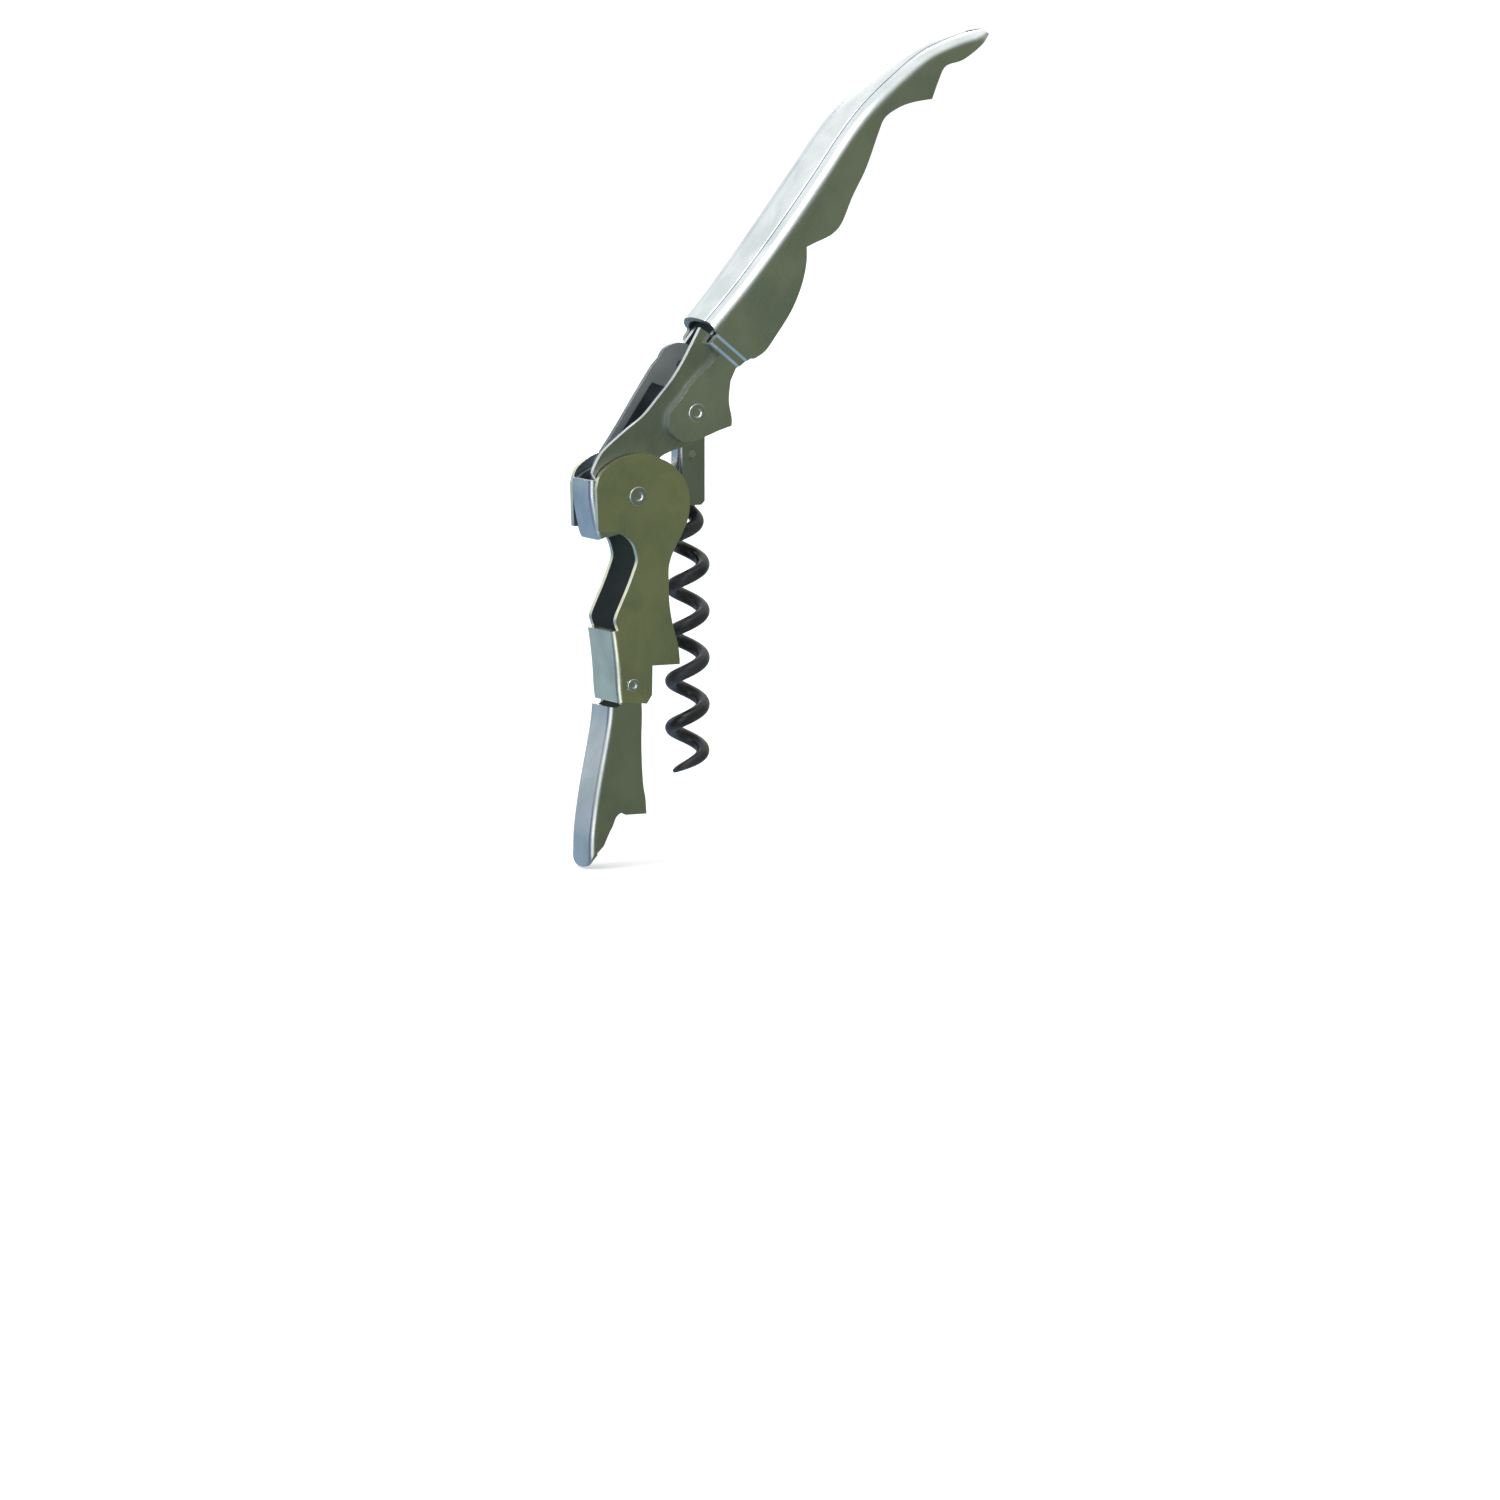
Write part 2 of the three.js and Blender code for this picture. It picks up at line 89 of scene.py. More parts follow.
# the handle's half width, and its spine's height, at places along it
SHELL_WIDTH = np.array([[30, 6.74], [37, 6.8], [46, 7.2], [62, 7.5], [76, 7.3], [86, 6.8], [94, 6.0],
                        [101, 4.9], [106.5, 3.8], [110.5, 2.6], [113, 1.3]])
SPINE = np.array([[30, 8.7], [33.2, 8.6], [42.5, 8.1], [55.4, 8.0], [69, 8.3], [79.4, 8.6], [86, 8.1],
                  [93.8, 6.4], [101.2, 4.0], [106.6, 0.8], [110.6, -2.2], [113, -4.4]])
CREASE = 2.4  # outer bend radius of the handle's fold
CROWN = 0.68
GROOVE = 0.16  # depth of the pressed line beside each crease
GROOVE_AT = 0.84  # its place, as a share of the way from the middle of the spine to the crease
GROOVE_WIDTH = 0.04  # the same kind of share
GROOVE_COLUMNS = (28, 29, 30)  # section points that it takes up
CHEEK_POINTS = 15  # section points up one cheek
TAIL = 112.9
BEND_POINTS = 8  # points round each bend of a channel
WEB_POINTS = 7  # points across its flat web
TONGUE_ROWS = 12
TONGUE_REACH = 0.985  # the last row stops short of the tongue's tip
TONGUE_SIDES = 0.35  # share of the sheet's thickness left at its sides
HOLE_SHARE = 0.93  # a face whose centre is this near to a hole's middle, in radii, is in the hole


# ---- points and outlines -------------------------------------------------------------------
def smooth_curve(points, fine):
    """A curve through points: between two of them the cubic whose end slopes are half the chord
    of each one's own neighbours, with fine steps to each stretch."""
    p = np.asarray(points, float)
    slope = (np.vstack([p[1:], p[-1:]]) - np.vstack([p[:1], p[:-1]])) / 2
    t = (np.arange(fine) / fine)[None, :, None]
    a, b, m, n = p[:-1, None], p[1:, None], slope[:-1, None], slope[1:, None]
    body = ((2 * t**3 - 3 * t**2 + 1) * a + (t**3 - 2 * t**2 + t) * m
            + (3 * t**2 - 2 * t**3) * b + (t**3 - t**2) * n)
    return np.vstack([body.reshape(-1, 2), p[-1:]])


def runs(*parts, fine=5):
    """Points in X and Z from several stretches. A stretch that starts with "s" is a smooth curve
    on from the point before it, and the others are straight."""
    points = np.zeros((0, 2))
    for part in parts:
        if part[0] == "s":
            joined = np.vstack([points[-1:], np.array(part[1:], float)])
            curve = smooth_curve(joined, fine)
            points = np.vstack([points[:-1] if len(points) else points, curve])
        else:
            points = np.vstack([points, np.array(part, float)])
    apart = np.linalg.norm(np.diff(points, axis=0), axis=1) > 1e-3
    return points[np.concatenate([[True], apart])]


def along(table, x):
    """Smooth lookup: a cubic between the rows of a table, its slopes from their neighbours."""
    x = np.clip(np.asarray(x, float), table[0, 0], table[-1, 0])
    i = np.clip(np.searchsorted(table[:, 0], x, side="right") - 1, 0, len(table) - 2)
    rows = np.arange(len(table))
    before = np.maximum(rows - 1, 0)
    after = np.minimum(rows + 1, len(table) - 1)
    slope = (table[after, 1] - table[before, 1]) / (table[after, 0] - table[before, 0])
    h = table[i + 1, 0] - table[i, 0]
    t = (x - table[i, 0]) / h
    return ((2 * t**3 - 3 * t**2 + 1) * table[i, 1] + (t**3 - 2 * t**2 + t) * h * slope[i]
            + (3 * t**2 - 2 * t**3) * table[i + 1, 1] + (t**3 - t**2) * h * slope[i + 1])


def smooth_step(t):
    """0 below 0, 1 above 1, and three t squared less two t cubed between."""
    t = np.clip(t, 0, 1)
    return t * t * (3 - 2 * t)


def in_handle(points):
    """From the handle's own axes (x along it, z to its spine, lever pivot at 0) to the frame's:
    a turn by the handle's angle about Y, then a move to the lever pivot."""
    c, s = math.cos(HANDLE_ANGLE), math.sin(HANDLE_ANGLE)
    x, y, z = points[:, 0], points[:, 1], points[:, 2]
    return np.stack([x * c - z * s, y, x * s + z * c], 1) + LEVER_PIVOT


def in_lever(points):
    """From axes at the lever pivot to the frame's."""
    return points + LEVER_PIVOT


def in_worm(points):
    """From axes at the worm pivot to the frame's."""
    return points + WORM_PIVOT


def at_y(points, y):
    """Points in X and Z as points in space, all at one Y."""
    return np.stack([points[:, 0], np.full(len(points), y), points[:, 1]], 1)


# ---- meshes --------------------------------------------------------------------------------
def mesh_piece(name, points, faces, kinds, materials, edge=0.0, smooth_angle=32):
    """A closed mesh from points in millimetres. Its faces are turned outwards by the sign of its
    volume, and its sharp edges get a small round of the width given, in the second finish. kinds
    gives each face's finish."""
    volume = 0.0
    for f in faces:
        a = points[f[0]]
        for j in range(1, len(f) - 1):
            volume += np.dot(a, np.cross(points[f[j]], points[f[j + 1]]))
    if volume < 0:
        faces = [tuple(reversed(f)) for f in faces]
    mesh = bpy.data.meshes.new(name)
    mesh.from_pydata((points * MM).tolist(), [], faces)
    mesh.shade_smooth()
    mesh.set_sharp_from_angle(angle=math.radians(smooth_angle))
    for material in materials:
        mesh.materials.append(material)
    mesh.polygons.foreach_set("material_index", np.asarray(kinds, np.int32))
    obj = bpy.data.objects.new(name, mesh)
    bpy.context.scene.collection.objects.link(obj)
    if edge:
        bevel = obj.modifiers.new("rounded edges", "BEVEL")
        bevel.width = edge * MM
        bevel.segments = 2
        bevel.limit_method = "ANGLE"
        bevel.angle_limit = math.radians(50)
        bevel.harden_normals = True
        bevel.use_clamp_overlap = True
        bevel.material = 1
    return obj


def cheek_faces(polygon, holes):
    """A flat outline with round holes as triangles, counter-clockwise in X and Z. Holes are rows of
    points. Returns index triples into polygon and holes put one after another."""
    loops = [polygon] + holes
    points = np.vstack(loops)
    edges, start = [], 0
    for loop in loops:
        n = len(loop)
        edges += [(start + k, start + (k + 1) % n) for k in range(n)]
        start += n
    verts, _, faces, origin, _, _ = delaunay_2d_cdt(
        [Vector(p) for p in points], edges, [tuple(range(len(polygon)))], 1, 1e-6)
    kept = []
    for f in faces:
        centre = sum((verts[i] for i in f), Vector((0, 0))) / len(f)
        if any((centre - Vector(h.mean(0))).length < HOLE_SHARE * np.linalg.norm(h[0] - h.mean(0))
               for h in holes):
            continue
        a, b, c = (verts[i] for i in f)
        index = tuple(origin[i][0] for i in f)
        turned = (b - a).x * (c - a).y - (b - a).y * (c - a).x > 0
        kept.append(index if turned else index[::-1])
    return kept


def circle(x, z, radius, sides=40):
    """A ring of points in X and Z."""
    angle = np.arange(sides) * 2 * math.pi / sides
    return np.stack([x + radius * np.cos(angle), z + radius * np.sin(angle)], 1)


def grid_faces(a, b, c, d):
    """Four-sided faces from four equal grids of point numbers, one grid to a corner."""
    return [tuple(int(i) for i in q) for q in np.stack([a, b, c, d], 2).reshape(-1, 4)]


def ring_faces(count, sides):
    """Faces over rings of points one after another, closed at each end by a fan to a single point.
    The two single points come after all the rings."""
    at = np.arange(count * sides).reshape(count, sides)
    after = np.roll(at, -1, 1)
    first, last = count * sides, count * sides + 1
    faces = grid_faces(at[:-1], after[:-1], after[1:], at[1:])
    faces += [(first, int(b), int(a)) for a, b in zip(at[0], after[0])]
    faces += [(last, int(a), int(b)) for a, b in zip(at[-1], after[-1])]
    return faces


def with_rim(outer, inner, faces):
    """A sheet from paired outer and inner points: the inner face is the outer one turned over, and
    each open edge gets a strip from one to the other. Returns points, faces and each face's finish:
    0 outside, 2 inside, 3 on the cut edges."""
    n = len(outer)
    edges = {(f[k], f[(k + 1) % len(f)]) for f in faces for k in range(len(f))}
    rim = [(b, a, a + n, b + n) for a, b in sorted(edges) if (b, a) not in edges]
    under = [tuple(i + n for i in reversed(f)) for f in faces]
    kinds = [0] * len(faces) + [2] * len(under) + [3] * len(rim)
    return np.vstack([outer, inner]), list(faces) + under + rim, kinds


def channel(web, near, far, half, sheet, bend, holes=(), tongue=0.0):
    """A folded channel. web is the line in X and Z along which the sheet crosses from one cheek to
    the other, and near and far are the rest of each cheek's outline, from the web's end round to its
    start. Across the web the section is: cheek plane, a quarter circle of the bend radius, the flat
    web, a quarter circle, cheek plane. The inner face is the outer one less the sheet's thickness
    along its normal. turn is the sign of the outline's area. tongue carries the web on past its
    start, to a half-ellipse that long: its half width goes as the square root of one less t squared,
    and the bend flattens as the square of one less t."""
    ring = np.vstack([web, near])
    turn = np.sign(np.sum(ring[:, 0] * np.roll(ring[:, 1], -1) - ring[:, 1] * np.roll(ring[:, 0], -1)))
    tangent = np.gradient(web, axis=0)
    tangent /= np.linalg.norm(tangent, axis=1)[:, None]
    out = turn * np.stack([tangent[:, 1], -tangent[:, 0]], 1)
    quarter = np.linspace(0, math.pi / 2, BEND_POINTS)
    flat = half - bend
    across = np.concatenate([-flat - bend * np.cos(quarter), np.linspace(-flat, flat, WEB_POINTS + 2)[1:-1],
                             flat + bend * np.cos(quarter[::-1])])
    sine = np.concatenate([np.sin(quarter), np.ones(WEB_POINTS), np.sin(quarter[::-1])])
    cosine = np.concatenate([-np.cos(quarter), np.zeros(WEB_POINTS), np.cos(quarter[::-1])])
    m, j = len(web), len(across)
    inset = bend * (1 - sine)
    grid = web[:, None] - out[:, None] * inset[None, :, None]
    outer = np.stack([grid[..., 0], np.broadcast_to(across, (m, j)), grid[..., 1]], 2)
    normal = np.stack([out[:, None, 0] * sine, np.broadcast_to(cosine, (m, j)), out[:, None, 1] * sine], 2)
    inner = outer - sheet * normal
    at = np.arange(m * j).reshape(m, j)
    faces = grid_faces(at[1:, :-1], at[:-1, :-1], at[:-1, 1:], at[1:, 1:])
    outer, inner = outer.reshape(-1, 3), inner.reshape(-1, 3)
    if tongue:
        t = (np.arange(1, TONGUE_ROWS + 1) / TONGUE_ROWS * TONGUE_REACH)[:, None]
        ahead = -tangent[0]
        row = web[0] + ahead * tongue * t
        pull = inset * (1 - t) ** 2
        px = row[:, :1] - out[0, 0] * pull
        pz = row[:, 1:] - out[0, 1] * pull
        py = across * np.sqrt(1 - t**2)
        lip = np.stack([px, py, pz], 2)
        share = TONGUE_SIDES + (1 - TONGUE_SIDES) * sine[None, :, None]
        back = np.broadcast_to(np.array([out[0, 0], 0, out[0, 1]]), lip.shape) * share
        first = len(outer)
        rows = np.vstack([at[:1], first + np.arange(TONGUE_ROWS * j).reshape(TONGUE_ROWS, j)])
        outer = np.vstack([outer, lip.reshape(-1, 3)])
        inner = np.vstack([inner, (lip - sheet * back).reshape(-1, 3)])
        faces += grid_faces(rows[:-1, :-1], rows[1:, :-1], rows[1:, 1:], rows[:-1, 1:])
    if turn < 0:
        faces = [f[::-1] for f in faces]
    for side, rest, column in ((-1, near, 0), (1, far, j - 1)):
        edge = grid[:, column]
        polygon = np.vstack([edge, rest])
        rings = [circle(*h) for h in holes]
        first = len(outer)
        extra = np.vstack([rest] + rings)
        index = np.concatenate([at[:, column], first + np.arange(len(extra))])
        outer = np.vstack([outer, at_y(extra, side * half)])
        inner = np.vstack([inner, at_y(extra, side * (half - sheet))])
        for f in cheek_faces(polygon, rings):
            f = f if side < 0 else f[::-1]
            faces.append(tuple(int(index[i]) for i in f))
    return with_rim(outer, inner, faces)


def turned(profile, x, z, sides=64):
    """A turned piece about Y: a profile of [radius, y] pairs, from the axis to the axis, carried
    round in equal steps. The two end points are single points on the axis."""
    profile = np.array(profile, float)
    middle = profile[1:-1]
    n = len(middle)
    angle = np.arange(sides) * 2 * math.pi / sides
    r, y = middle[:, :1], middle[:, 1:]
    rings = np.stack([x + r * np.cos(angle), np.broadcast_to(y, (n, sides)), z + r * np.sin(angle)], 2)
    points = np.vstack([rings.reshape(-1, 3), [[x, profile[0, 1], z]], [[x, profile[-1, 1], z]]])
    faces = ring_faces(n, sides)
    return points, faces, [0] * len(faces)


def tube(centres, radii, sides, start_cap=0.02, end_cap=0.1):
    """A round wire along a line: at each centre a ring of its own radius, square to the line, whose
    first direction is Y crossed with the line. Both ends close in a point, a cap's length past them."""
    ahead = np.gradient(centres, axis=0)
    ahead /= np.linalg.norm(ahead, axis=1)[:, None]
    side = np.cross(np.array([0.0, 1.0, 0.0]), ahead)
    side /= np.linalg.norm(side, axis=1)[:, None]
    out = np.cross(ahead, side)
    angle = np.arange(sides) * 2 * math.pi / sides
    ring = side[:, None] * np.cos(angle)[None, :, None] + out[:, None] * np.sin(angle)[None, :, None]
    rings = centres[:, None] + radii[:, None, None] * ring
    start = centres[:1] - ahead[:1] * start_cap
    end = centres[-1:] + ahead[-1:] * end_cap
    points = np.vstack([rings.reshape(-1, 3), start, end])
    faces = ring_faces(len(centres), sides)
    return points, faces, [0] * len(faces)


# ---- finishes ------------------------------------------------------------------------------
def new_node(tree, kind, **values):
    """A shader node with some of its inputs set by name."""
    made = tree.nodes.new(kind)
    for name, value in values.items():
        made.inputs[name.replace("_", " ")].default_value = value
    return made


def brushed_group():
    """Brushed sheet: fine lines along X (noise squeezed to a fortieth along it), broad soft smudges
    (slow noise) and sparse short scratches (the borders of stretched cells). The smudges go up to
    1.7, so that times the lines, which are about a half, they come near to 1."""
    tree = bpy.data.node_groups.new("brushed sheet", "ShaderNodeTree")
    face = tree.interface
    face.new_socket("Vector", in_out="INPUT", socket_type="NodeSocketVector")
    face.new_socket("Fineness", in_out="INPUT", socket_type="NodeSocketFloat").default_value = 9000.0
    for name in ("Lines", "Smudge", "Scratch"):
        face.new_socket(name, in_out="OUTPUT", socket_type="NodeSocketFloat")
    start = tree.nodes.new("NodeGroupInput")
    end = tree.nodes.new("NodeGroupOutput")
    link = tree.links.new
    squeeze = new_node(tree, "ShaderNodeMapping", Scale=(0.025, 1.0, 1.0))
    link(start.outputs["Vector"], squeeze.inputs["Vector"])
    lines = new_node(tree, "ShaderNodeTexNoise", Detail=4.0, Roughness=0.6)
    link(squeeze.outputs[0], lines.inputs["Vector"])
    link(start.outputs["Fineness"], lines.inputs["Scale"])
    link(lines.outputs["Fac"], end.inputs["Lines"])
    smudge = new_node(tree, "ShaderNodeTexNoise", Scale=110.0, Detail=3.0, Roughness=0.55, Distortion=0.4)
    link(start.outputs["Vector"], smudge.inputs["Vector"])
    soft = new_node(tree, "ShaderNodeMapRange", From_Min=0.36, From_Max=0.66, To_Max=1.7)
    link(smudge.outputs["Fac"], soft.inputs["Value"])
    link(soft.outputs[0], end.inputs["Smudge"])
    stretch = new_node(tree, "ShaderNodeMapping", Scale=(0.12, 1.0, 1.0))
    stretch.inputs["Rotation"].default_value = (0.0, 0.5, 0.3)
    link(start.outputs["Vector"], stretch.inputs["Vector"])
    cells = new_node(tree, "ShaderNodeTexVoronoi", Scale=900.0)
    cells.feature = "DISTANCE_TO_EDGE"
    link(stretch.outputs[0], cells.inputs["Vector"])
    thin = new_node(tree, "ShaderNodeMapRange", From_Min=0.0, From_Max=0.018, To_Min=1.0, To_Max=0.0)
    link(cells.outputs["Distance"], thin.inputs["Value"])
    sparse = new_node(tree, "ShaderNodeMath")
    sparse.operation = "MULTIPLY"
    link(thin.outputs[0], sparse.inputs[0])
    link(soft.outputs[0], sparse.inputs[1])
    link(sparse.outputs[0], end.inputs["Scratch"])
    return tree


BRUSHED = brushed_group()


def steel(name, bright, dull, rough, turn=0.0, fineness=9000.0, relief=0.06, variation=0.1):
    """A brushed steel: its colour and gloss go from bright to dull with the smudges times the lines,
    and the lines and scratches are a shallow relief. turn is the grain's angle about Y."""
    material = bpy.data.materials.new(name)
    material.use_nodes = True
    tree = material.node_tree
    shader = tree.nodes["Principled BSDF"]
    link = tree.links.new
    place = tree.nodes.new("ShaderNodeTexCoord")
    turned_by = new_node(tree, "ShaderNodeMapping", Rotation=(0.0, turn, 0.0))
    link(place.outputs["Object"], turned_by.inputs["Vector"])
    sheet = tree.nodes.new("ShaderNodeGroup")
    sheet.node_tree = BRUSHED
    sheet.inputs["Fineness"].default_value = fineness
    link(turned_by.outputs[0], sheet.inputs["Vector"])
    blend = new_node(tree, "ShaderNodeMath")
    blend.operation = "MULTIPLY"
    link(sheet.outputs["Smudge"], blend.inputs[0])
    link(sheet.outputs["Lines"], blend.inputs[1])
    colour = tree.nodes.new("ShaderNodeMix")
    colour.data_type = "RGBA"
    colour.inputs["A"].default_value = (*bright, 1)
    colour.inputs["B"].default_value = (*dull, 1)
    link(blend.outputs[0], colour.inputs["Factor"])
    link(colour.outputs["Result"], shader.inputs["Base Color"])
    gloss = new_node(tree, "ShaderNodeMapRange", To_Min=rough - variation / 2, To_Max=rough + variation)
    link(blend.outputs[0], gloss.inputs["Value"])
    scratched = new_node(tree, "ShaderNodeMath")
    scratched.operation = "MULTIPLY_ADD"
    scratched.inputs[1].default_value = 0.12
    link(sheet.outputs["Scratch"], scratched.inputs[0])
    link(gloss.outputs[0], scratched.inputs[2])
    link(scratched.outputs[0], shader.inputs["Roughness"])
    height = new_node(tree, "ShaderNodeMath")
    height.operation = "MULTIPLY_ADD"
    height.inputs[1].default_value = -0.6
    link(sheet.outputs["Scratch"], height.inputs[0])
    link(sheet.outputs["Lines"], height.inputs[2])
    bump = new_node(tree, "ShaderNodeBump", Strength=relief, Distance=0.0002)
    link(height.outputs[0], bump.inputs["Height"])
    link(bump.outputs[0], shader.inputs["Normal"])
    shader.inputs["Metallic"].default_value = 1.0
    return material


def coating(name, colour, rough, rubbed=3.2):
    """A black non-stick coat: a dark base with fine orange-peel relief, rubbed that many times
    paler where the slow smudges are strongest."""
    material = bpy.data.materials.new(name)
    material.use_nodes = True
    tree = material.node_tree
    shader = tree.nodes["Principled BSDF"]
    link = tree.links.new
    place = tree.nodes.new("ShaderNodeTexCoord")
    sheet = tree.nodes.new("ShaderNodeGroup")
    sheet.node_tree = BRUSHED
    sheet.inputs["Fineness"].default_value = 3000.0
    link(place.outputs["Object"], sheet.inputs["Vector"])
    mix = tree.nodes.new("ShaderNodeMix")
    mix.data_type = "RGBA"
    mix.inputs["A"].default_value = (*colour, 1)
    mix.inputs["B"].default_value = (*(rubbed * c for c in colour), 1)
    link(sheet.outputs["Smudge"], mix.inputs["Factor"])
    link(mix.outputs["Result"], shader.inputs["Base Color"])
    gloss = new_node(tree, "ShaderNodeMapRange", To_Min=rough, To_Max=rough + 0.15)
    link(sheet.outputs["Smudge"], gloss.inputs["Value"])
    link(gloss.outputs[0], shader.inputs["Roughness"])
    grit = new_node(tree, "ShaderNodeTexNoise", Scale=2500.0, Detail=2.0)
    link(place.outputs["Object"], grit.inputs["Vector"])
    bump = new_node(tree, "ShaderNodeBump", Strength=0.12, Distance=0.0002)
    link(grit.outputs["Fac"], bump.inputs["Height"])
    link(bump.outputs[0], shader.inputs["Normal"])
    return material


# The green-grey tints in these steels, and the clear yellow of the lever steel, are painted reflection of
# green and yellow surroundings; the spread from bright to dull is random tone.
HANDLE_STEEL = steel("handle steel", (0.90, 0.92, 0.89), (0.66, 0.71, 0.70), 0.24, turn=HANDLE_ANGLE)
FRAME_STEEL = steel("frame steel", (0.74, 0.77, 0.75), (0.50, 0.54, 0.54), 0.28, turn=HANDLE_ANGLE)
LEVER_STEEL = steel("lever steel", (0.92, 0.90, 0.66), (0.60, 0.62, 0.50), 0.27, turn=math.radians(84))
LINK_STEEL = steel("link steel", (0.74, 0.76, 0.72), (0.52, 0.56, 0.53), 0.28, turn=math.radians(80))
CARRIER_STEEL = steel("carrier steel", (0.62, 0.66, 0.68), (0.5, 0.54, 0.56), 0.3, turn=math.radians(90))
# Painted highlight, partly real wear: the rounded edges get a steel much brighter than the sheets they
# round.
WORN_EDGE_AND_HIGHLIGHT_STEEL = steel("worn edge and painted highlight", (0.93, 0.94, 0.95), (0.84, 0.86, 0.87), 0.2, relief=0.02)
# Painted shade: dark steel for the insides of the channels, where shade falls, and for the knife's rim.
PAINTED_SHADE_STEEL = steel("painted shade inside", (0.26, 0.29, 0.32), (0.16, 0.18, 0.21), 0.46, variation=0.14)
CUT_STEEL = steel("sheared edge", (0.46, 0.50, 0.44), (0.34, 0.38, 0.34), 0.5, fineness=5000.0)
# Painted shade: dark blue-grey for the pressed line beside each crease of the spine.
GROOVE_PAINTED_SHADE_STEEL = steel("spine groove painted shade", (0.20, 0.24, 0.34), (0.14, 0.17, 0.25), 0.4, turn=HANDLE_ANGLE)
BLADE_STEEL = steel("blade steel", (0.9, 0.91, 0.9), (0.76, 0.78, 0.77), 0.6, turn=HANDLE_ANGLE)
RIVET_STEEL = steel("rivet steel", (0.82, 0.84, 0.84), (0.68, 0.70, 0.69), 0.2, fineness=4000.0)
WORM_COAT = coating("worm coating", (0.011, 0.011, 0.012), 0.3)


# ---- handle --------------------------------------------------------------------------------
TAB_EDGE = runs([[27.6, 3.5]], ["s", [23.5, 4.25], [19.8, 4.2], [16.4, 4.4], [14.6, 3.5], [13.35, 1.9],
                                [13.45, -1.0]],
                [[14.9, -2.75], [16.9, -4.1], [19.9, -5.9], [22.0, -7.35]],
                ["s", [23.2, -6.4], [25.3, -3.9], [28.4, -1.8]], fine=6)
UNDERSIDE = runs([[30.9, -1.2], [33.8, -1.9], [34.3, -2.6]],
                 ["s", [36.8, -3.5], [40.2, -3.4], [45.8, -2.9], [50.6, -1.6], [54.5, 0.3], [57, 2.3]],
                 ["s", [59, 1.2], [62, -0.4], [65, -0.7], [70, 0.6], [76.1, 1.7], [82.8, 3.7], [86, 4.3],
                  [89.5, 2.9], [92.2, 0.9], [94.9, -1.8]],
                 ["s", [98.8, -0.9], [101.8, -0.7], [105, -3.1], [109.6, -5.0], [112.4, -5.6]],
                 [[113.0, -5.7]], fine=8)
COLLAR_END = 33.4  # where the spine starts, along the handle
COLLAR_STEPS = (31.0, 32.7)  # where each of the collar's two steps starts
STEP_RUN = 0.7
FRONT_LEAN = 0.9  # how far the spine's front edge is drawn back
FRONT_FADE = 1.5  # over about this length
TAB_ROWS = 9  # section points of the collar's edge that the tab joins


